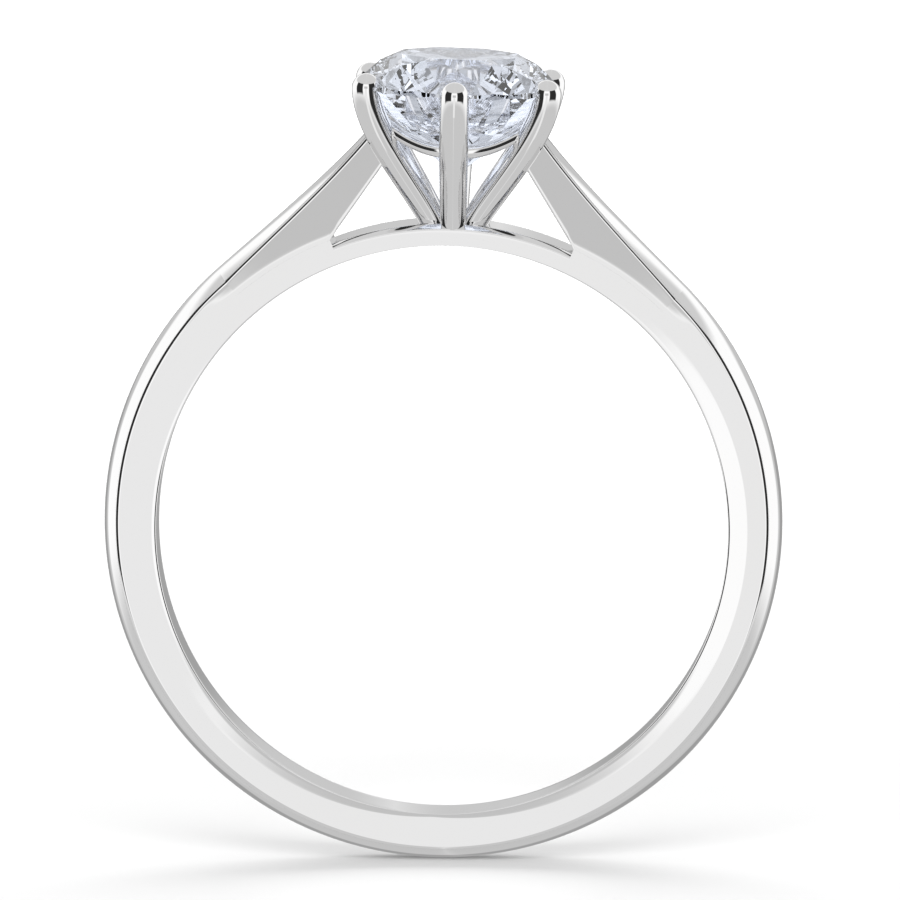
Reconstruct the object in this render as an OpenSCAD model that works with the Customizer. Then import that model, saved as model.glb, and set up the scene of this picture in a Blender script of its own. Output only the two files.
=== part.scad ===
// Six-claw solitaire ring with cathedral shoulders.
// The origin is the centre of the finger bore. The bore runs along Y, and the stone is up +Z.

/* [Finger size] */
// Radius of the bore that the finger goes through
bore_r = 8.25; // [7:0.05:10.5]
// Width of the band along the finger
band_w = 2.1; // [1.6:0.1:2.6]
// Rounding of the bore's two edges, for comfort
comfort_r = 0.25; // [0.1:0.05:0.4]

/* [Band] */
// Thickness from the bore to the edge of the flat side
side_t = 1.14; // [0.9:0.02:1.4]
// Height of the domed outside above the flat side
dome_h = 0.4; // [0.2:0.05:0.6]
// How far the outside is set up from the bore's centre, which thins the palm side
outer_rise = 0.16; // [0:0.02:0.3]
// Angle from the top at which the shoulders leave the band
shoulder_a = 43; // [38:1:48]

/* [Bridge] */
// Thickness of the finger rail under the head
bridge_t = 0.62; // [0.5:0.02:0.8]
// Angle from the top to each end of the finger rail
bridge_a = 23; // [21:1:25]
// Bevel along the finger rail's top edges
bridge_bevel = 0.14; // [0.05:0.01:0.2]

/* [Shoulders] */
// Thickness of the band that runs on under a shoulder
under_t = 0.75; // [0.7:0.01:0.8]
// Half width of a shoulder's top where it meets the head
tip_half_w = 0.86; // [0.7:0.02:1]
// Dome height where a shoulder meets the head
tip_dome = 0.06; // [0.02:0.01:0.2]

/* [Head] */
// Thickness of a claw's wire at the foot
claw_foot_d = 0.74; // [0.6:0.02:0.8]
// Thickness of a claw's wire at the stone
claw_top_d = 0.84; // [0.7:0.02:0.9]
// Thickness of the gallery rail's wire
rail_d = 0.38; // [0.3:0.02:0.44]
// Height of the gallery rail at the front and back
rail_low_z = 11.06; // [11:0.02:11.2]
// How much the gallery rail rises towards the shoulders
rail_rise = 0.9; // [0.6:0.02:0.92]
// Distance of the gallery rail from the head's axis at the front and back
rail_low_r = 1.85; // [1.8:0.01:1.9]
// The same distance towards the shoulders
rail_high_r = 2.42; // [2.38:0.01:2.5]
// Radius of the peg that locates the head in the finger rail
peg_r = 0.3; // [0.2:0.02:0.34]

/* [Stone] */
// Diameter of the round brilliant
stone_d = 5.8; // [5.6:0.05:5.9]
// Height of the middle of the girdle above the bore's centre
girdle_z = 12.78; // [12.7:0.02:12.86]
// Thickness of the girdle
girdle_t = 0.2; // [0.14:0.01:0.24]
// Table width across corners, as a share of the diameter
table_share = 0.61; // [0.55:0.01:0.65]
// Angle of the crown's main facets
crown_a = 36.5; // [33:0.5:38]
// Angle of the pavilion's main facets
pavilion_a = 40.9; // [40:0.1:42]

/* [Hidden] */
$fn = 96;
metal = "silver";
far = 20;

// Radii from the bore's centre
half_w = band_w / 2;
side_r = bore_r + side_t;
outer_r = side_r + dome_h;
under_r = bore_r + under_t;
bridge_r = bore_r + bridge_t;

// Claw centre line as (distance from the head's axis, height): a cubic curve
foot = [0.545, 8.5];
foot_pull = [0.86, 9.57];
tip_pull = [2.91, 11.33];
tip = [3.01, 12.79];
claw_rings = 16;
claw_sides = 16;
tip_rings = 5;
tip_h = 0.42;
tip_lean = 16;

// Directions from the head's axis to each claw, seen from above
front = -90;
back = 90;
front_left = -150;
front_right = -30;
back_left = 150;
back_right = 30;

// Shoulder silhouette as (x, z): a cubic curve from the band up to the head
band_edge_r = outer_rise * cos(shoulder_a) + sqrt(pow(outer_r, 2) - pow(outer_rise * sin(shoulder_a), 2));
top_start = band_edge_r * [sin(shoulder_a), cos(shoulder_a)];
top_end = [2.37, 11.65];
top_pull = 2.05;
top_end_slope = 50.5;
// Upper end of a shoulder's underside, between the two claws beside it
window_top = [1.94, 10.71];
shoulder_steps = 20;
dome_steps = 6;

// Gallery rail and peg
rail_steps = 48;
rail_sides = 12;
peg_top = 9.7;

// Facets of the stone
stone_r = stone_d / 2;
half_girdle = girdle_t / 2;
eighth = 45;
table_r = stone_r * table_share;
crown_h = (stone_r - table_r) * tan(crown_a);
star_out = (table_r * cos(eighth / 2) + stone_r) / 2;
star_h = (stone_r - star_out * cos(eighth / 2)) * tan(crown_a);
lower_in = 0.23 * stone_r;
lower_h = (stone_r - lower_in * cos(eighth / 2)) * tan(pavilion_a);
half_facet_r = stone_r * cos(eighth / 4);
upper_a = atan(star_h / ((stone_r - star_out) * cos(eighth / 4)));
lower_a = atan(lower_h / ((stone_r - lower_in) * cos(eighth / 4)));
culet_r = 0.03;
girdle_points = 64;

function unit(v) = v / norm(v);

function cubic(a, b, c, d, t) =
    pow(1 - t, 3) * a + 3 * pow(1 - t, 2) * t * b + 3 * (1 - t) * t * t * c + pow(t, 3) * d;

function cubic_slope(a, b, c, d, t) =
    pow(1 - t, 2) * (b - a) + 2 * (1 - t) * t * (c - b) + t * t * (d - c);

// Faces of a tube made of rings of points: side quads, and end caps unless it is looped
function tube_faces(rings, sides, looped = false) = concat(
    [for (i = [0 : rings - (looped ? 1 : 2)], j = [0 : sides - 1])
        let (next = (i + 1) % rings, side = (j + 1) % sides)
        [i * sides + j, next * sides + j, next * sides + side, i * sides + side]],
    looped ? [] : [
        [for (j = [0 : sides - 1]) j],
        [for (j = [sides - 1 : -1 : 0]) (rings - 1) * sides + j]
    ]
);

// Turns a profile drawn as (radius, width) about the bore's axis
module round_bore() {
    rotate([90, 0, 0]) rotate_extrude($fn = 180) children();
}

module bore_cylinder(r) {
    rotate([90, 0, 0]) cylinder(r = r, h = far, center = true, $fn = 180);
}

// The space for the finger: the bore, flared to both sides by the comfort rounding
module finger_space() {
    flare_r = bore_r + comfort_r;
    bore_cylinder(bore_r);
    round_bore()
        for (side = [-1, 1])
            difference() {
                translate([bore_r - 1, side * half_w - comfort_r])
                    square([1 + comfort_r, 2 * comfort_r]);
                translate([flare_r, side * (half_w - comfort_r)]) circle(r = comfort_r);
            }
}

// A wedge about the bore's axis, centred on the top and reaching angle a to each side
module top_wedge(a) {
    rotate([90, 0, 0])
        linear_extrude(far, center = true)
            polygon([[0, 0], far * [sin(a), cos(a)], [0, 2 * far], far * [-sin(a), cos(a)]]);
}

// Outside of the band: flat sides and a D-shaped dome about a centre raised above the bore's
module band_blank() {
    dome_r = (half_w * half_w + dome_h * dome_h) / (2 * dome_h);
    translate([0, 0, outer_rise])
        round_bore()
            intersection() {
                translate([outer_r - dome_r, 0]) circle(r = dome_r, $fn = 180);
                translate([bore_r - 1, -half_w]) square([outer_r, band_w]);
            }
}

// Hoop, open at the top for the finger rail and thinned under each shoulder
module shank() {
    color(metal)
        difference() {
            band_blank();
            finger_space();
            top_wedge(bridge_a);
            difference() {
                top_wedge(shoulder_a);
                bore_cylinder(under_r);
            }
        }
}

// Curved finger rail that closes the hoop under the head
module bridge() {
    low_r = bridge_r - bridge_bevel;
    low_w = half_w - bridge_bevel;
    color(metal)
        difference() {
            intersection() {
                round_bore()
                    polygon([[bore_r - 1, -half_w], [low_r, -half_w], [bridge_r, -low_w],
                             [bridge_r, low_w], [low_r, half_w], [bore_r - 1, half_w]]);
                top_wedge(bridge_a);
            }
            finger_space();
            cylinder(r = peg_r, h = far);
        }
}

// Underside of a shoulder as (x, z): along the thinned band, then up the window's edge
function shoulder_low(t) =
    let (along = min(2 * t, 1),
         a = shoulder_a + (bridge_a - shoulder_a) * along,
         rise = max(2 * t - 1, 0))
    under_r * [sin(a), cos(a)] * (1 - rise) + window_top * rise;

function shoulder_top(t) = cubic(
    top_start,
    top_start + top_pull * [-cos(shoulder_a), sin(shoulder_a)],
    top_end + top_pull * [cos(top_end_slope), -sin(top_end_slope)],
    top_end, t);

// One D-shaped section of a shoulder, t from 0 at the band to 1 at the head
function shoulder_ring(t) =
    let (low = shoulder_low(t), top = shoulder_top(t), up = unit(top - low),
         w = half_w + (tip_half_w - half_w) * t,
         h = dome_h + (tip_dome - dome_h) * pow(t, 0.8))
    concat(
        [[low[0], -half_w, low[1]]],
        [for (i = [0 : dome_steps])
            let (side = 2 * i / dome_steps - 1, p = top - h * side * side * up)
            [p[0], w * side, p[1]]],
        [[low[0], half_w, low[1]]]
    );

// Cathedral shoulder, cut to sit on the two claws beside it
module right_shoulder() {
    color(metal)
        difference() {
            polyhedron(
                [for (i = [0 : shoulder_steps]) each shoulder_ring(i / shoulder_steps)],
                tube_faces(shoulder_steps + 1, dome_steps + 3));
            claw_wire(front_right);
            claw_wire(back_right);
        }
}

module left_shoulder() {
    mirror([1, 0, 0]) right_shoulder();
}

// A round section of a claw's wire, square to a direction that leans out by angle a
function claw_ring(centre, a, r) = [for (j = [0 : claw_sides - 1])
    let (turn = 360 * j / claw_sides, out = r * cos(turn))
    [centre[0] + out * cos(a), r * sin(turn), centre[1] - out * sin(a)]];

// A claw's whole wire: bent out from the foot, then upright, with its tip rounded over
module claw_wire(direction) {
    wire = [for (i = [0 : claw_rings - 1])
        let (t = i / (claw_rings - 1), slope = cubic_slope(foot, foot_pull, tip_pull, tip, t))
        each claw_ring(cubic(foot, foot_pull, tip_pull, tip, t), atan(slope[0] / slope[1]),
                       (claw_foot_d + (claw_top_d - claw_foot_d) * t) / 2)];
    cap = [for (i = [1 : tip_rings])
        let (a = 80 * i / tip_rings, lean = -tip_lean * sin(a))
        each claw_ring(tip + tip_h * sin(a) * [sin(lean), cos(lean)], lean,
                       claw_top_d / 2 * cos(a))];
    rotate([0, 0, direction])
        polyhedron(concat(wire, cap), tube_faces(claw_rings + tip_rings, claw_sides));
}

// Claw: its foot stands on the finger rail against its neighbours, its seat holds the stone
module claw(direction) {
    color(metal)
        difference() {
            claw_wire(direction);
            for (side = [-1, 1])
                rotate([0, 0, direction + side * 30])
                    translate([-far, side > 0 ? 0 : -far, 0]) cube([2 * far, far, far]);
            bore_cylinder(bridge_r);
            cylinder(r = peg_r, h = peg_top);
            stone();
        }
}

module claw_front() { claw(front); }
module claw_back() { claw(back); }
module claw_front_left() { claw(front_left); }
module claw_front_right() { claw(front_right); }
module claw_back_left() { claw(back_left); }
module claw_back_right() { claw(back_right); }

// Wire hoop inside the claws: low at the front and back, high towards the shoulders
module gallery_rail() {
    points = [for (i = [0 : rail_steps - 1])
        let (turn = 360 * i / rail_steps,
             out = [cos(turn), sin(turn), 0],
             high = pow(cos(turn), 2),
             middle = (rail_low_r + (rail_high_r - rail_low_r) * high) * out
                      + [0, 0, rail_low_z + rail_rise * high])
        for (j = [0 : rail_sides - 1])
            let (b = -360 * j / rail_sides)
            middle + rail_d / 2 * (cos(b) * out + [0, 0, sin(b)])];
    color(metal)
        difference() {
            polyhedron(points, tube_faces(rail_steps, rail_sides, looped = true));
            for (direction = [front, back, front_left, front_right, back_left, back_right])
                claw_wire(direction);
        }
}

// Peg that stands in the finger rail's hole, with the six feet round it
module head_peg() {
    color(metal)
        difference() {
            cylinder(r = peg_r, h = peg_top);
            bore_cylinder(bore_r);
        }
}

// Points set round the stone's axis, count of them, the first at angle turn
function stone_ring(r, z, turn, count) =
    [for (i = [0 : count - 1]) let (a = turn + 360 * i / count) [r * cos(a), r * sin(a), z]];

// One edge of the round girdle, scalloped where each of sixteen facets dips into it
function girdle_edge(side, facet_slope) =
    [for (i = [0 : girdle_points - 1])
        let (a = 360 * i / girdle_points,
             off = (a % (eighth / 2)) - eighth / 4,
             dip = (stone_r * cos(off) - half_facet_r) * tan(facet_slope))
        [stone_r * cos(a), stone_r * sin(a), side * (half_girdle - dip)]];

// Round brilliant with 57 facets and a small culet, as the convex solid of its corners
module stone() {
    corners = concat(
        stone_ring(table_r, half_girdle + crown_h, eighth / 2, 8),
        stone_ring(star_out, half_girdle + star_h, 0, 8),
        girdle_edge(1, upper_a),
        girdle_edge(-1, lower_a),
        stone_ring(lower_in, -half_girdle - lower_h, 0, 8),
        stone_ring(culet_r, -half_girdle - (stone_r - culet_r) * tan(pavilion_a), eighth / 2, 8)
    );
    translate([0, 0, girdle_z])
        hull()
            polyhedron(corners, [[for (i = [0 : len(corners) - 1]) i]]);
}

module diamond() {
    color("aliceblue") stone();
}

shank();
bridge();
left_shoulder();
right_shoulder();
claw_front();
claw_back();
claw_front_left();
claw_front_right();
claw_back_left();
claw_back_right();
gallery_rail();
head_peg();
diamond();
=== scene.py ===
import bpy
import bmesh
from math import asin, atan2, cos, hypot, pi, radians, sin, sqrt, tan
from mathutils import Matrix, Vector


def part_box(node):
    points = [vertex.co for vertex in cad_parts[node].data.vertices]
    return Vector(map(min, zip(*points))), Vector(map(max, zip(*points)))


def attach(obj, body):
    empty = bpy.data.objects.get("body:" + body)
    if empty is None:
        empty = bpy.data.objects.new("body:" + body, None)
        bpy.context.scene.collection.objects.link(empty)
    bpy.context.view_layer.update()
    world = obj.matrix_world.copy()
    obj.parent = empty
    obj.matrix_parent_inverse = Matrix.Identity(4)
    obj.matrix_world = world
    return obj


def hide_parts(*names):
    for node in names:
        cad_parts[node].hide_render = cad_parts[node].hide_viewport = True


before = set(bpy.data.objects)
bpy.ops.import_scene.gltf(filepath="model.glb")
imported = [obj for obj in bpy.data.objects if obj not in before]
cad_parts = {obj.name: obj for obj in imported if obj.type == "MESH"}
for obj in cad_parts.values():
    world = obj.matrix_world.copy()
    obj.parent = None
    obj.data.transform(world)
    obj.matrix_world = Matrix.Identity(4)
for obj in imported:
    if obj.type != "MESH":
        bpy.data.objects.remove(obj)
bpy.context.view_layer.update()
MM = 0.001


# ---------------------------------------------------------------------------------------------
# Camera: a long lens on a tripod in front of the ring, a little above it and to its right.
# The ring leans on its stand, so the camera is rolled by the same small angle.
# ---------------------------------------------------------------------------------------------
view_azimuth, view_elevation, lean = radians(2.0), radians(6.9), radians(2.0)
view_distance = 1000 * MM
frame_width = 25.97 * MM
film_width = 36
view_back = Vector((sin(view_azimuth) * cos(view_elevation),
                    -cos(view_azimuth) * cos(view_elevation), sin(view_elevation)))
bpy.ops.object.select_all(action="DESELECT")
bpy.ops.object.camera_add(location=view_back * view_distance)
camera = bpy.context.object
camera.name = "camera"
camera.rotation_mode = "QUATERNION"
camera.rotation_quaternion = (view_back.to_track_quat("Z", "Y")
                              @ Matrix.Rotation(lean, 3, "Z").to_quaternion())
camera.data.sensor_width = film_width
camera.data.lens = film_width * view_distance / frame_width
camera.data.clip_start = 10 * MM
camera.data.clip_end = 10
# The bore's centre sits a little left of and below the middle of the view
camera.data.shift_x = 0.0075
camera.data.shift_y = 0.0844
bpy.context.scene.camera = camera


# ---------------------------------------------------------------------------------------------
# Shank: the hoop, a D-section strip of platinum bent round a mandrel. Its bore has comfort
# rounded edges, its sides are flat and its outside is a low dome, thinner under the palm.
# It is open at the top, and filed down to a thin band where each shoulder is soldered on.
# ---------------------------------------------------------------------------------------------
bore_r, half_w = 8.25 * MM, 1.05 * MM
side_r, dome_h, outer_rise = 9.39 * MM, 0.394 * MM, 0.16 * MM
under_r = 9.0 * MM
comfort_r, turn_out_r, edge_r = 0.07 * MM, 0.35 * MM, 0.16 * MM
eased_w, eased_a, least_easing = 0.57 * MM, radians(4), 0.15
bridge_a, shoulder_a = radians(23), radians(43)
taper_start_a, taper_full_a = radians(54), radians(42)
taper_slope, taper_blend = 0.073, 0.2 * MM
past_easing, same_place = 0.02 * MM, 0.00001 * MM


def stretch(a, b, steps):
    """Points from a up to, but not including, b."""
    return [a + (b - a) * i / steps for i in range(steps)]


def corner(before, at, after, r, steps):
    """A corner of an outline, rounded with radius r."""
    one, two = (before - at).normalized(), (after - at).normalized()
    reach = r / tan(one.angle(two) / 2)
    start, end = at + one * reach, at + two * reach
    return [start.lerp(at, i / steps).lerp(at.lerp(end, i / steps), i / steps)
            for i in range(steps + 1)]


def dome(top, half_width, height, steps):
    """A low arc over a strip, from the middle of its top to its edge."""
    r = (half_width ** 2 + height ** 2) / (2 * height)
    span = asin(half_width / r)
    return [Vector((top - r + r * cos(span * i / steps), r * sin(span * i / steps)))
            for i in range(steps)]


def both_halves(half):
    """Mirrors half of an outline, which runs from middle to middle, to the other side."""
    return half + [Vector((p.x, -p.y)) for p in reversed(half[1:-1])]


def taper(mesh):
    """Narrows the ring towards the head: the sides lean in above the band that holds it."""
    for vertex in mesh.vertices:
        x, y, z = vertex.co
        share = (taper_start_a - atan2(abs(x), z)) / (taper_start_a - taper_full_a)
        share = min(1, max(0, share))
        share *= share * (3 - 2 * share)
        above = max(0, hypot(x, z) - under_r)
        lean_in = above ** 2 / (2 * taper_blend) if above < taper_blend else above - taper_blend / 2
        vertex.co.y = y * (1 - taper_slope * share * lean_in / half_w)


def outline(name, points):
    """Starts a piece as a circle and moves its points on to a section's outline."""
    bpy.ops.object.select_all(action="DESELECT")
    bpy.ops.mesh.primitive_circle_add(vertices=len(points), radius=side_r, fill_type="NOTHING")
    piece = bpy.context.object
    piece.name = piece.data.name = name
    for vertex, place in zip(piece.data.vertices, points):
        vertex.co = place
    bpy.ops.object.mode_set(mode="EDIT")
    bpy.ops.mesh.select_all(action="SELECT")
    return piece


def close_ends():
    """Caps the open ends of the piece in edit mode and turns its faces outwards."""
    bpy.ops.mesh.select_all(action="DESELECT")
    bpy.ops.mesh.select_non_manifold()
    bpy.ops.mesh.edge_face_add()
    bpy.ops.mesh.select_all(action="SELECT")
    bpy.ops.mesh.normals_make_consistent(inside=False)
    bpy.ops.object.mode_set(mode="OBJECT")


def polish(piece, sharp=28):
    """Smooths a metal piece, keeping its flats flat right up to their rounded edges."""
    bpy.ops.object.select_all(action="DESELECT")
    piece.select_set(True)
    bpy.context.view_layer.objects.active = piece
    bpy.ops.object.shade_smooth_by_angle(angle=radians(sharp))
    bpy.ops.object.modifier_add(type="WEIGHTED_NORMAL")
    piece.modifiers[-1].keep_sharp = True
    bpy.ops.object.modifier_apply(modifier=piece.modifiers[-1].name)
    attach(piece, "root")


def easing(across):
    """How much of the full easing the bore's edges have. across is 0 at the top, 1 at a side."""
    return least_easing + (1 - least_easing) * across


def bore_side(rim, full=1):
    """Half of a section from the middle of the bore to just past its eased edge."""
    inner, wall = Vector((bore_r, 0)), Vector((bore_r, half_w - full * eased_w * tan(eased_a)))
    eased = Vector((bore_r + full * eased_w, half_w))
    comfort = corner(inner, wall, eased, full * comfort_r, 6)
    turn_out = corner(wall, eased, rim, full * turn_out_r, 2)
    return [*stretch(inner, comfort[0], 4), *comfort[:-1], *stretch(comfort[-1], turn_out[0], 4),
            *turn_out]


def ease(mesh, full=1):
    """Lets the easing of the bore's edges die away from the sides to the top and the palm."""
    for vertex in mesh.vertices:
        x, y, z = vertex.co
        r = hypot(x, z)
        share = easing(abs(x) / r) / full
        from_comfort = half_w - full * (eased_w * tan(eased_a) + comfort_r) - abs(y)
        if r < bore_r + full * eased_w + past_easing and from_comfort < 0:
            r = bore_r + (r - bore_r) * share
            vertex.co.y = (half_w - (half_w - abs(y)) * share) * (1 if y > 0 else -1)
            vertex.co.x, vertex.co.z = x * r / hypot(x, z), z * r / hypot(x, z)


def hoop_half():
    """Half of the hoop's section as (distance from the bore's axis, place along it)."""
    wall, rim = Vector((bore_r, half_w)), Vector((side_r, half_w))
    crest, low = dome(side_r + dome_h, half_w, dome_h, 16), bore_side(rim)
    edge = corner(wall, rim, crest[-1], edge_r, 8)
    return [*low[:-1], *stretch(low[-1], edge[0], 8), *edge, *reversed(crest)]


def add(tree, kind, inputs, **settings):
    """Adds a node whose inputs are values or other nodes' outputs."""
    node = tree.nodes.new(kind)
    for name, value in settings.items():
        setattr(node, name, value)
    for name, value in inputs.items():
        if isinstance(value, bpy.types.NodeSocket):
            tree.links.new(value, node.inputs[name])
        else:
            node.inputs[name].default_value = value
    return node


def new_group(name, inputs, outputs):
    """Starts a node group. Inputs and outputs are given as {name: kind of socket}."""
    tree = bpy.data.node_groups.new(name, "ShaderNodeTree")
    for label, kind in inputs.items():
        tree.interface.new_socket(label, in_out="INPUT", socket_type="NodeSocket" + kind)
    for label, kind in outputs.items():
        tree.interface.new_socket(label, in_out="OUTPUT", socket_type="NodeSocket" + kind)
    return tree, tree.nodes.new("NodeGroupInput").outputs


# Polish left by felt and cotton wheels: fine hairlines along X of the vector, over a soft bloom
polish_tree, given = new_group(
    "wheel_polish",
    {"Along": "Vector", "Hairlines per metre": "Float", "Hairline depth": "Float", "Gloss": "Float"},
    {"Roughness": "Float", "Normal": "Vector"})
drawn_out = add(polish_tree, "ShaderNodeVectorMath", {0: given["Along"], 1: (0.03, 1, 1)},
                operation="MULTIPLY")
lines = add(polish_tree, "ShaderNodeTexNoise",
            {"Vector": drawn_out.outputs[0], "Scale": given["Hairlines per metre"], "Detail": 3})
cuts = add(polish_tree, "ShaderNodeMapRange",
           {"Value": lines.outputs["Fac"], "From Min": 0.58, "From Max": 0.74},
           interpolation_type="SMOOTHSTEP")
bloom = add(polish_tree, "ShaderNodeTexNoise",
            {"Vector": given["Along"], "Scale": 420, "Detail": 2})
hazy = add(polish_tree, "ShaderNodeMath",
           {0: bloom.outputs["Fac"], 1: 0.03, 2: given["Gloss"]}, operation="MULTIPLY_ADD")
rough = add(polish_tree, "ShaderNodeMath",
            {0: cuts.outputs["Result"], 1: 0.02, 2: hazy.outputs[0]}, operation="MULTIPLY_ADD")
bump = add(polish_tree, "ShaderNodeBump",
           {"Height": cuts.outputs["Result"], "Distance": given["Hairline depth"]}, invert=True)
add(polish_tree, "NodeGroupOutput", {"Roughness": rough.outputs[0], "Normal": bump.outputs[0]})

# The alloy's own grey, a little warmer where it has cooled last; the stone's painted fire uses the
# same patches
tone_tree, given = new_group(
    "alloy_tone", {"Place": "Vector", "Clean": "Color", "Warm": "Color", "Patches per metre": "Float"},
    {"Color": "Color"})
patches = add(tone_tree, "ShaderNodeTexNoise",
              {"Vector": given["Place"], "Scale": given["Patches per metre"], "Detail": 2})
mixed = add(tone_tree, "ShaderNodeMix", {"Factor": patches.outputs["Fac"]}, data_type="RGBA")
tone_tree.links.new(given["Clean"], mixed.inputs[6])
tone_tree.links.new(given["Warm"], mixed.inputs[7])
add(tone_tree, "NodeGroupOutput", {"Color": mixed.outputs[2]})


def platinum(name, along, hairlines_per_metre):
    """Polished platinum. along(tree, x, y, z) gives the vector that its hairlines follow."""
    metal = bpy.data.materials.new(name)
    metal.use_nodes = True
    tree = metal.node_tree
    place = add(tree, "ShaderNodeTexCoord", {}).outputs["Object"]
    axes = add(tree, "ShaderNodeSeparateXYZ", {0: place}).outputs
    polish = add(tree, "ShaderNodeGroup", {}, node_tree=polish_tree)
    tree.links.new(along(tree, *axes), polish.inputs["Along"])
    polish.inputs["Hairlines per metre"].default_value = hairlines_per_metre
    polish.inputs["Hairline depth"].default_value = 0.00004 * MM
    polish.inputs["Gloss"].default_value = 0.02
    tone = add(tree, "ShaderNodeGroup", {}, node_tree=tone_tree)
    tree.links.new(place, tone.inputs["Place"])
    tone.inputs["Clean"].default_value = (0.855, 0.855, 0.86, 1)
    tone.inputs["Warm"].default_value = (0.845, 0.84, 0.835, 1)
    tone.inputs["Patches per metre"].default_value = 160
    shader = tree.nodes["Principled BSDF"]
    shader.inputs["Metallic"].default_value = 1
    tree.links.new(tone.outputs["Color"], shader.inputs["Base Color"])
    tree.links.new(polish.outputs["Roughness"], shader.inputs["Roughness"])
    tree.links.new(polish.outputs["Normal"], shader.inputs["Normal"])
    return metal


def round_the_bore(tree, x, y, z):
    """Hairlines that run round the finger: X of the vector is the way round the hoop."""
    turn = add(tree, "ShaderNodeMath", {0: x, 1: z}, operation="ARCTAN2")
    run = add(tree, "ShaderNodeMath", {0: turn.outputs[0], 1: side_r}, operation="MULTIPLY")
    flat = add(tree, "ShaderNodeCombineXYZ", {0: x, 2: z})
    out = add(tree, "ShaderNodeVectorMath", {0: flat.outputs[0]}, operation="LENGTH")
    return add(tree, "ShaderNodeCombineXYZ",
               {0: run.outputs[0], 1: y, 2: out.outputs["Value"]}).outputs[0]


band_platinum = platinum("band_platinum", round_the_bore, hairlines_per_metre=9000)

hoop_steps = 471
hoop_step = 2 * (pi - bridge_a) / hoop_steps
same_ring, ledge_run = 0.1 * hoop_step, 0.01 * hoop_step
section = both_halves(hoop_half())
shank = outline("hoop", [Vector((p.x * sin(bridge_a), p.y, p.x * cos(bridge_a))) for p in section])
bpy.ops.mesh.spin(steps=hoop_steps, angle=2 * (pi - bridge_a), center=(0, 0, 0), axis=(0, -1, 0))
close_ends()
# The outside is raised towards the head. Inside the shoulders' angle only the thin band is left,
# and the first ring there is drawn out to the shoulder's end face, to make a square ledge.
for vertex in shank.data.vertices:
    x, y, z = vertex.co
    turn, r = atan2(abs(x), z), hypot(x, z)
    r += outer_rise * cos(turn) * min(1, max(0, (r - bore_r - eased_w) / (side_r - bore_r - eased_w)))
    if turn < shoulder_a - same_ring:
        r = min(r, under_r)
        if turn > shoulder_a - hoop_step - same_ring:
            turn = shoulder_a - ledge_run
    vertex.co = (sin(turn) * r * (1 if x > 0 else -1), y, cos(turn) * r)
bpy.ops.object.mode_set(mode="EDIT")
bpy.ops.mesh.select_all(action="SELECT")
bpy.ops.mesh.remove_doubles(threshold=same_place)
bpy.ops.object.mode_set(mode="OBJECT")
ease(shank.data)
taper(shank.data)
shank.data.materials.append(band_platinum)
polish(shank)
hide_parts("shank")


# ---------------------------------------------------------------------------------------------
# Bridge: the finger rail, a short curved bar that closes the hoop under the head. It is let in
# between the hoop's ends, flush with the bore and the sides, and its top edges are bevelled.
# ---------------------------------------------------------------------------------------------
bridge_r, bevel, bevel_edge_r = 8.87 * MM, 0.14 * MM, 0.06 * MM
bridge_steps = 64
wall = Vector((bore_r, half_w))
bevel_low, bevel_high = Vector((bridge_r - bevel, half_w)), Vector((bridge_r, half_w - bevel))
low_edge = corner(wall, bevel_low, bevel_high, bevel_edge_r, 4)
high_edge = corner(bevel_low, bevel_high, Vector((bridge_r, 0)), bevel_edge_r, 4)
full = easing(sin(bridge_a))
half = [*bore_side(bevel_low, full), *low_edge, *high_edge[:-1],
        *stretch(high_edge[-1], Vector((bridge_r, 0)), 6), Vector((bridge_r, 0))]
bridge = outline("finger_rail", [Vector((-p.x * sin(bridge_a), p.y, p.x * cos(bridge_a)))
                                 for p in both_halves(half)])
bpy.ops.mesh.spin(steps=bridge_steps, angle=2 * bridge_a, center=(0, 0, 0), axis=(0, -1, 0))
close_ends()
ease(bridge.data, full)
bridge.data.materials.append(band_platinum)
polish(bridge)
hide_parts("bridge")


# ---------------------------------------------------------------------------------------------
# Shoulders: two cathedral shoulders, forged to a wedge, filed to sweep up out of the hoop and
# soldered to it and to the side claws. Their tops go from the hoop's dome to almost flat.
# ---------------------------------------------------------------------------------------------
outer_r = side_r + dome_h
top_start_r = outer_rise * cos(shoulder_a) + sqrt(outer_r ** 2 - (outer_rise * sin(shoulder_a)) ** 2)
top_start = top_start_r * Vector((sin(shoulder_a), cos(shoulder_a)))
start_slope = asin(top_start.x / outer_r)
top_end, end_slope = Vector((2.37, 11.65)) * MM, radians(50.5)
top_pull = 2.05 * MM
window_top = Vector((1.94, 10.71)) * MM
head_dome, flattening = 0.06 * MM, 0.8
joint_edge_r, foot_edge_r, edge_growth = 0.002 * MM, 0.08 * MM, 6
shoulder_steps = 90


def cubic(a, b, c, d, t):
    """A point on a cubic curve from a to d, pulled towards b and c."""
    return (1 - t) ** 3 * a + 3 * (1 - t) ** 2 * t * b + 3 * (1 - t) * t * t * c + t ** 3 * d


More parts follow.
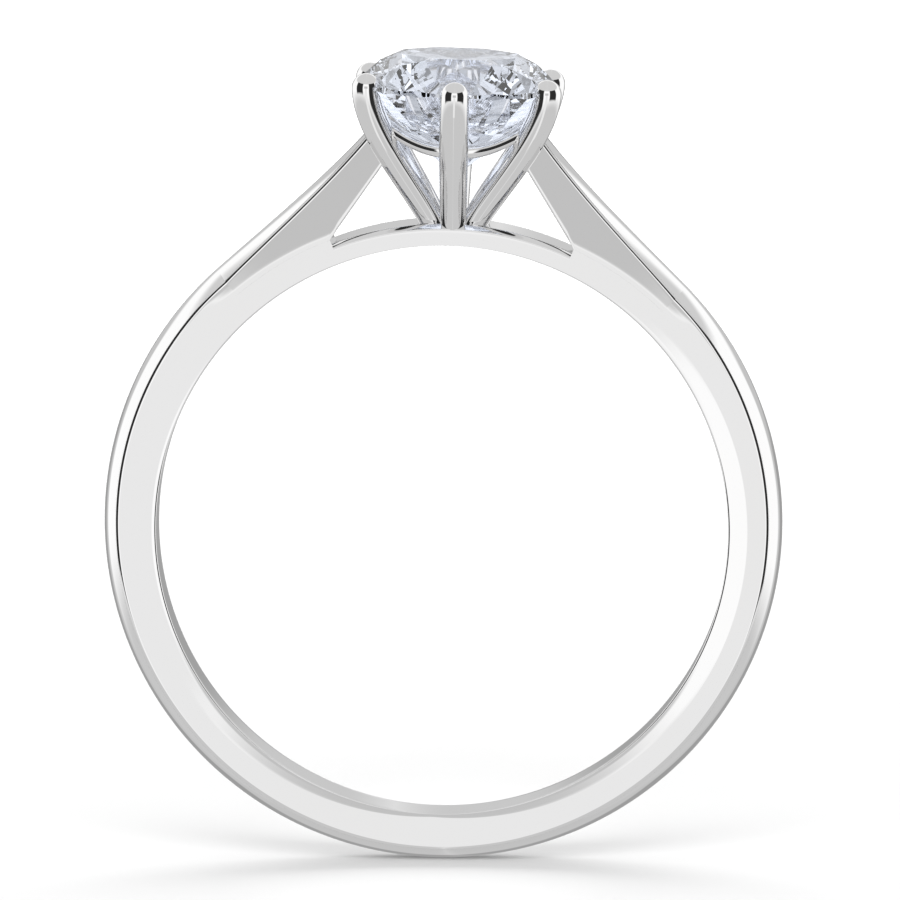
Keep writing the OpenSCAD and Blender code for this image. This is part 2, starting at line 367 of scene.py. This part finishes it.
def shoulder_ring(t):
    """A D-shaped section of the right shoulder, t from 0 at the hoop to 1 at the head."""
    along, rise = min(1, 2 * t), max(0, 2 * t - 1)
    turn = shoulder_a + (bridge_a - shoulder_a) * along
    low = (under_r * Vector((sin(turn), cos(turn)))).lerp(window_top, rise)
    top = cubic(top_start, top_start + top_pull * Vector((-cos(start_slope), sin(start_slope))),
                top_end + top_pull * Vector((cos(end_slope), -sin(end_slope))), top_end, t)
    tall, up = (top - low).length, (top - low).normalized()
    height = dome_h + (head_dome - dome_h) * t ** flattening
    foot_r = joint_edge_r + foot_edge_r * min(1, edge_growth * rise)
    middle, foot, rim = Vector((0, 0)), Vector((0, half_w)), Vector((tall - height, half_w))
    crest = dome(tall, half_w, height, 16)
    foot_corner, edge = corner(middle, foot, rim, foot_r, 4), corner(foot, rim, crest[-1], edge_r, 6)
    half = [*stretch(middle, foot_corner[0], 3), *foot_corner[:-1],
            *stretch(foot_corner[-1], edge[0], 14), *edge, *reversed(crest)]
    return [Vector((low.x + p.x * up.x, p.y, low.y + p.x * up.y)) for p in both_halves(half)]


def loft(name, rings, looped=False):
    """Draws the first ring, then extrudes it on from ring to ring."""
    piece = outline(name, rings[0])
    for ring in rings[1:]:
        bpy.ops.mesh.extrude_region()
        mesh = bmesh.from_edit_mesh(piece.data)
        mesh.verts.ensure_lookup_table()
        for vertex, place in zip(mesh.verts[-len(ring):], ring):
            vertex.co = place
    if looped:
        for vertex in mesh.verts:
            vertex.select_set(not len(ring) <= vertex.index < len(mesh.verts) - len(ring))
        mesh.select_flush_mode()
        bpy.ops.mesh.bridge_edge_loops()
    close_ends()
    return piece


for side, way in (("right", 1), ("left", -1)):
    rings = [[Vector((way * p.x, p.y, p.z)) for p in shoulder_ring(i / shoulder_steps)]
             for i in range(shoulder_steps + 1)]
    shoulder = loft(side + "_cathedral_shoulder", rings)
    taper(shoulder.data)
    shoulder.data.materials.append(band_platinum)
    polish(shoulder)
    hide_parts(side + "_shoulder")


# ---------------------------------------------------------------------------------------------
# Claws: six round platinum wires, soldered round a peg at their feet and bent out into a tulip.
# Each has a seat filed in its inner side for the girdle, and its tip is rounded over the stone.
# ---------------------------------------------------------------------------------------------
claw_foot, claw_foot_pull = Vector((0.545, 8.5)) * MM, Vector((0.86, 9.57)) * MM
claw_tip_pull, claw_tip = Vector((2.91, 11.33)) * MM, Vector((3.01, 12.79)) * MM
claw_foot_r, claw_top_r, thickening = 0.37 * MM, 0.42 * MM, 1.6
tip_h, tip_lean, tip_end = 0.42 * MM, radians(16), radians(88)
claw_rings, claw_sides, tip_rings, nearby = 64, 40, 14, 0.001
claw_directions = {"front": -90, "back": 90, "front_left": -150,
                   "front_right": -30, "back_left": 150, "back_right": 30}


def wire_ring(centre, lean_out, r, direction, sides):
    """A round section of wire, square to its run, in the upright plane through direction."""
    ring = []
    for i in range(sides):
        turn = 2 * pi * i / sides
        out = centre.x + r * cos(turn) * cos(lean_out)
        across, up = r * sin(turn), centre.y - r * cos(turn) * sin(lean_out)
        ring.append(Vector((out * cos(direction) - across * sin(direction),
                            out * sin(direction) + across * cos(direction), up)))
    return ring


def claw_sections(direction):
    """Rings along a claw's centre line from its foot, then over its rounded tip."""
    rings = []
    for i in range(claw_rings):
        t = i / (claw_rings - 1)
        centre = cubic(claw_foot, claw_foot_pull, claw_tip_pull, claw_tip, t)
        slope = (cubic(claw_foot, claw_foot_pull, claw_tip_pull, claw_tip, t + nearby)
                 - cubic(claw_foot, claw_foot_pull, claw_tip_pull, claw_tip, t - nearby))
        r = claw_foot_r + (claw_top_r - claw_foot_r) * min(1, thickening * t)
        rings.append(wire_ring(centre, atan2(slope.x, slope.y), r, direction, claw_sides))
    for i in range(1, tip_rings + 1):
        a = tip_end * i / tip_rings
        lean_in = -tip_lean * sin(a)
        centre = claw_tip + tip_h * sin(a) * Vector((sin(lean_in), cos(lean_in)))
        rings.append(wire_ring(centre, lean_in, claw_top_r * cos(a), direction, claw_sides))
    return rings


def up_the_wire(tree, x, y, z):
    """Hairlines that run from a claw's foot to its tip."""
    return add(tree, "ShaderNodeCombineXYZ", {0: z, 1: x, 2: y}).outputs[0]


head_platinum = platinum("head_platinum", up_the_wire, hairlines_per_metre=12000)

claws = []
for place, degrees_round in claw_directions.items():
    claw = loft("claw_wire_" + place, claw_sections(radians(degrees_round)))
    claw.data.materials.append(head_platinum)
    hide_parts("claw_" + place)
    claws.append(claw)


# ---------------------------------------------------------------------------------------------
# Gallery rail: a hoop of thinner wire soldered inside the claws, below the stone. It dips at
# the front and back of the ring and climbs towards the shoulders.
# ---------------------------------------------------------------------------------------------
rail_wire_r = 0.19 * MM
rail_low, rail_high = Vector((1.85, 11.06)) * MM, Vector((2.42, 11.96)) * MM
rail_steps, rail_sides = 144, 20
rings = []
for i in range(rail_steps):
    direction = 2 * pi * i / rail_steps
    centre = rail_low.lerp(rail_high, abs(cos(direction)) ** 3)
    rings.append([Vector(((centre.x + rail_wire_r * cos(a)) * cos(direction),
                          (centre.x + rail_wire_r * cos(a)) * sin(direction),
                          centre.y + rail_wire_r * sin(a)))
                  for a in (2 * pi * j / rail_sides for j in range(rail_sides))])


def round_the_head(tree, x, y, z):
    """Hairlines that run along the rail's wire."""
    turn = add(tree, "ShaderNodeMath", {0: y, 1: x}, operation="ARCTAN2")
    run = add(tree, "ShaderNodeMath", {0: turn.outputs[0], 1: rail_high.x}, operation="MULTIPLY")
    return add(tree, "ShaderNodeCombineXYZ", {0: run.outputs[0], 2: z}).outputs[0]


rail = loft("gallery_wire", rings, looped=True)
rail.data.materials.append(platinum("rail_platinum", round_the_head, hairlines_per_metre=12000))
polish(rail, sharp=60)
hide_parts("gallery_rail")


# ---------------------------------------------------------------------------------------------
# Head peg: a short platinum pin that stands in the finger rail, overlapping its solid, as no hole is
# cut in the rail.
# The claws' feet are soldered round it. Its end is filed flush with the bore, and its top edge is
# broken.
# ---------------------------------------------------------------------------------------------
peg_r, peg_top, peg_edge, filed_off = 0.3 * MM, 9.7 * MM, 0.05 * MM, 0.002 * MM
bpy.ops.object.select_all(action="DESELECT")
bpy.ops.mesh.primitive_cylinder_add(vertices=48, radius=peg_r, depth=peg_top - bore_r,
                                    location=(0, 0, (peg_top + bore_r) / 2))
peg = bpy.context.object
peg.name = peg.data.name = "head_pin"
bpy.ops.object.transform_apply(location=True)
for vertex in peg.data.vertices:
    if vertex.co.z < bore_r + peg_edge:
        vertex.co.z = sqrt(bore_r ** 2 - vertex.co.x ** 2) + filed_off
bpy.ops.object.mode_set(mode="EDIT")
bpy.ops.mesh.select_mode(type="FACE")
mesh = bmesh.from_edit_mesh(peg.data)
for face in mesh.faces:
    face.select_set(face.calc_center_median().z > peg_top - peg_edge)
bpy.ops.mesh.bevel(offset=peg_edge, segments=3, affect="EDGES")
bpy.ops.mesh.select_mode(type="VERT")
bpy.ops.object.mode_set(mode="OBJECT")
peg.data.materials.append(head_platinum)
polish(peg)
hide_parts("head_peg")


# ---------------------------------------------------------------------------------------------
# Diamond: a round brilliant of 57 facets and a small culet. It is bruted to a round blank,
# then each facet is ground flat. It is held between the claws' seats and their tips.
# ---------------------------------------------------------------------------------------------
stone_low, stone_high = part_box("diamond")
stone_r = (stone_high.x - stone_low.x) / 2
girdle_z, half_girdle = 12.78 * MM, 0.1 * MM
crown_a, pavilion_a = radians(36.5), radians(40.9)
table_r, lower_in = 0.61 * stone_r, 0.23 * stone_r
eighth, facet_edge, seat_play = radians(45), radians(5), 1.002
crown_h = (stone_r - table_r) * tan(crown_a)
star_out = (table_r * cos(eighth / 2) + stone_r) / 2
star_h = (stone_r - star_out * cos(eighth / 2)) * tan(crown_a)
star_slope = (crown_h - star_h) / (star_out - table_r * cos(eighth / 2))
lower_h = (stone_r - lower_in * cos(eighth / 2)) * tan(pavilion_a)
half_facet_r = stone_r * cos(eighth / 4)
upper_slope = star_h / (half_facet_r - star_out * cos(eighth / 4))
lower_slope = lower_h / (half_facet_r - lower_in * cos(eighth / 4))
star_r = star_out + star_h / star_slope


def grind(count, turn, slope, r, side):
    """Cuts a ring of facets that slope in from distance r at the girdle's edge."""
    for i in range(count):
        a = turn + 2 * pi * i / count
        out = Vector((cos(a), sin(a), 0))
        bpy.ops.mesh.select_all(action="SELECT")
        bpy.ops.mesh.bisect(plane_co=out * r + Vector((0, 0, girdle_z + side * half_girdle)),
                            plane_no=out * slope + Vector((0, 0, side)),
                            clear_outer=True, use_fill=True, threshold=same_place)


bpy.ops.object.select_all(action="DESELECT")
blank_low, blank_high = stone_low.z, stone_high.z
bpy.ops.mesh.primitive_cylinder_add(vertices=128, radius=stone_r, depth=blank_high - blank_low,
                                    location=(0, 0, (blank_low + blank_high) / 2))
stone = bpy.context.object
stone.name = stone.data.name = "round_brilliant"
bpy.ops.object.transform_apply(location=True)
bpy.ops.object.mode_set(mode="EDIT")
grind(8, eighth / 2, tan(crown_a), stone_r, 1)
grind(8, 0, star_slope, star_r, 1)
grind(16, eighth / 4, upper_slope, half_facet_r, 1)
grind(8, eighth / 2, tan(pavilion_a), stone_r, -1)
grind(16, eighth / 4, lower_slope, half_facet_r, -1)
bpy.ops.object.mode_set(mode="OBJECT")
bpy.ops.object.shade_smooth_by_angle(angle=facet_edge)
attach(stone, "root")
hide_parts("diamond")

# The seats, filed in the claws with the stone's own shape and a hair of play
bpy.ops.object.duplicate()
file_shape = bpy.context.object
for vertex in file_shape.data.vertices:
    vertex.co.z -= girdle_z
    vertex.co *= seat_play
    vertex.co.z += girdle_z
for claw in claws:
    bpy.ops.object.select_all(action="DESELECT")
    bpy.context.view_layer.objects.active = claw
    bpy.ops.object.modifier_add(type="BOOLEAN")
    claw.modifiers[-1].object = file_shape
    bpy.ops.object.modifier_apply(modifier=claw.modifiers[-1].name)
    polish(claw, sharp=40)
bpy.data.objects.remove(file_shape)

# Almost colourless, with a faint blue and lavender painted into the stone's colour in patches: painted
# fire, standing in for the light that the cut throws
stone_glass = bpy.data.materials.new("diamond_facets")
stone_glass.use_nodes = True
tree = stone_glass.node_tree
place = add(tree, "ShaderNodeTexCoord", {}).outputs["Object"]
painted_fire = add(tree, "ShaderNodeGroup", {}, node_tree=tone_tree)
tree.links.new(place, painted_fire.inputs["Place"])
# Both colours are painted fire, blue and lavender tints that stand in for light thrown by the cut
painted_fire.inputs["Clean"].default_value = (0.90, 0.94, 1, 1)
painted_fire.inputs["Warm"].default_value = (0.92, 0.925, 1, 1)
painted_fire.inputs["Patches per metre"].default_value = 900
shader = tree.nodes["Principled BSDF"]
shader.inputs["Transmission Weight"].default_value = 1
shader.inputs["IOR"].default_value = 2.417
shader.inputs["Roughness"].default_value = 0
tree.links.new(painted_fire.outputs["Color"], shader.inputs["Base Color"])
stone.data.materials.append(stone_glass)

# Light crosses a brilliant many times before it leaves
bpy.context.scene.cycles.max_bounces = 24
bpy.context.scene.cycles.transmission_bounces = 20
bpy.context.scene.cycles.glossy_bounces = 12


# ---------------------------------------------------------------------------------------------
# Floor: a sheet of matt board, lit up to white. The ring leans a little to the right as it
# stands on it, held by a dot of wax: the board is level and the ring's own frame tips.
# ---------------------------------------------------------------------------------------------
level_up = Vector((-sin(lean), 0, cos(lean)))
standing_point = Vector((0, 0, outer_rise)) - outer_r * level_up
bpy.ops.object.select_all(action="DESELECT")
bpy.ops.mesh.primitive_plane_add(size=900 * MM, location=standing_point, rotation=(0, -lean, 0))
floor = bpy.context.object
floor.name = "white_board"
board = bpy.data.materials.new("matt_white_board")
board.use_nodes = True
tree = board.node_tree
place = add(tree, "ShaderNodeTexCoord", {}).outputs["Object"]
pulp = add(tree, "ShaderNodeGroup", {}, node_tree=tone_tree)
tree.links.new(place, pulp.inputs["Place"])
pulp.inputs["Clean"].default_value = (0.71, 0.71, 0.71, 1)
pulp.inputs["Warm"].default_value = (0.7, 0.7, 0.7, 1)
pulp.inputs["Patches per metre"].default_value = 40
shader = tree.nodes["Principled BSDF"]
shader.inputs["Roughness"].default_value = 1
shader.inputs["Specular IOR Level"].default_value = 0
tree.links.new(pulp.outputs["Color"], shader.inputs["Base Color"])
floor.data.materials.append(board)
floor.visible_glossy = False
floor.visible_transmission = False


# ---------------------------------------------------------------------------------------------
# Studio: a white light tent. Its back and top are grey sheets, the camera looks in through a
# grey gap, and two black cards beside the gap draw the dark lines along the metal's edges.
# ---------------------------------------------------------------------------------------------
card_tree, given = new_group(
    "studio_card",
    {"Azimuth": "Float", "Elevation": "Float", "From": "Float", "To": "Float", "Low": "Float",
     "High": "Float", "Soft": "Float"},
    {"Mask": "Float"})


def soft_step(value, edge):
    """Rises from 0 to 1 across an edge of a card."""
    start = add(card_tree, "ShaderNodeMath", {0: edge, 1: given["Soft"]}, operation="SUBTRACT")
    end = add(card_tree, "ShaderNodeMath", {0: edge, 1: given["Soft"]}, operation="ADD")
    return add(card_tree, "ShaderNodeMapRange",
               {"Value": value, "From Min": start.outputs[0], "From Max": end.outputs[0]},
               interpolation_type="SMOOTHSTEP").outputs["Result"]


def between(value, low, high):
    """1 between a card's two edges, 0 outside them."""
    return add(card_tree, "ShaderNodeMath", {0: soft_step(value, low), 1: soft_step(value, high)},
               operation="SUBTRACT").outputs[0]


mask = add(card_tree, "ShaderNodeMath",
           {0: between(given["Azimuth"], given["From"], given["To"]),
            1: between(given["Elevation"], given["Low"], given["High"])}, operation="MULTIPLY")
add(card_tree, "NodeGroupOutput", {"Mask": mask.outputs[0]})

world = bpy.data.worlds.new("light_tent")
bpy.context.scene.world = world
world.use_nodes = True
tree = world.node_tree
direction = add(tree, "ShaderNodeSeparateXYZ",
                {0: add(tree, "ShaderNodeTexCoord", {}).outputs["Generated"]}).outputs
forward = add(tree, "ShaderNodeMath", {0: direction["Y"], 1: -1}, operation="MULTIPLY").outputs[0]
turn = add(tree, "ShaderNodeMath", {0: direction["X"], 1: forward}, operation="ARCTAN2").outputs[0]
azimuth = add(tree, "ShaderNodeMath", {0: turn}, operation="DEGREES").outputs[0]
off_front = add(tree, "ShaderNodeMath", {0: azimuth}, operation="ABSOLUTE").outputs[0]
climb = add(tree, "ShaderNodeMath", {0: direction["Z"]}, operation="ARCSINE").outputs[0]
elevation = add(tree, "ShaderNodeMath", {0: climb}, operation="DEGREES").outputs[0]

# Each card as (azimuth from the camera's side, from, to, lowest, highest, softness, tone)
tent_tone = 1.15
cards = {
    "board_below": (off_front, -1, 181, -91, -18, 8, 0.66),
    "grey_back": (off_front, 137, 181, -91, 16, 4, 0.62),
    "low_back": (off_front, 147, 181, -40, 2, 3, 0.38),
    "board_in_front": (azimuth, -7.5, 8, -40, -2, 0.7, 0.95),
    "camera_gap": (azimuth, -13, 13, -1, 14, 1.5, 0.62),
    "grey_above": (off_front, -1, 181, 32, 91, 4, 0.72),
    "black_card_left": (azimuth, -79, -24, -16, 34, 2, 0.03),
    "black_card_right": (azimuth, 24, 79, -16, 34, 2, 0.03),
}
tone = tent_tone
for label, (across, start, end, low, high, soft, shade) in cards.items():
    card = add(tree, "ShaderNodeGroup", {}, node_tree=card_tree, label=label)
    tree.links.new(across, card.inputs["Azimuth"])
    tree.links.new(elevation, card.inputs["Elevation"])
    for name, value in (("From", start), ("To", end), ("Low", low), ("High", high), ("Soft", soft)):
        card.inputs[name].default_value = value
    tone = add(tree, "ShaderNodeMix", {"Factor": card.outputs["Mask"], "A": tone, "B": shade},
               data_type="FLOAT").outputs[0]

# What is seen through the stone is lifted and cooled a little, which keeps its facets pale
stone_lift, stone_cool = 0.33, (1.22, 1.27, 1.34, 1)
path = add(tree, "ShaderNodeLightPath", {}).outputs
least = add(tree, "ShaderNodeMath", {0: path["Is Transmission Ray"], 1: stone_lift},
            operation="MULTIPLY")
lifted = add(tree, "ShaderNodeMath", {0: tone, 1: least.outputs[0]}, operation="MAXIMUM").outputs[0]
cooled = add(tree, "ShaderNodeMix", {"Factor": path["Is Transmission Ray"], 6: lifted,
                                     7: stone_cool},
             data_type="RGBA", blend_type="MULTIPLY").outputs[2]
shown = add(tree, "ShaderNodeMix", {"Factor": path["Is Camera Ray"], 6: cooled, 7: (1, 1, 1, 1)},
            data_type="RGBA").outputs[2]
tree.links.new(shown, tree.nodes["Background"].inputs["Color"])

# Two low soft boxes, one in front and one behind, throw the ring's shadow both ways
box_away, box_up, box_size, box_watts = 330 * MM, 190 * MM, 280 * MM, 1.3
for label, side in (("front_soft_box", -1), ("back_soft_box", 1)):
    lamp_place = Vector((0, side * box_away, box_up))
    bpy.ops.object.select_all(action="DESELECT")
    bpy.ops.object.light_add(type="AREA", location=lamp_place,
                             rotation=lamp_place.to_track_quat("Z", "Y").to_euler())
    lamp = bpy.context.object
    lamp.name = label
    lamp.data.size = box_size
    lamp.data.energy = box_watts
    lamp.visible_glossy = False
    lamp.visible_transmission = False
bpy.context.scene.view_settings.view_transform = "Standard"
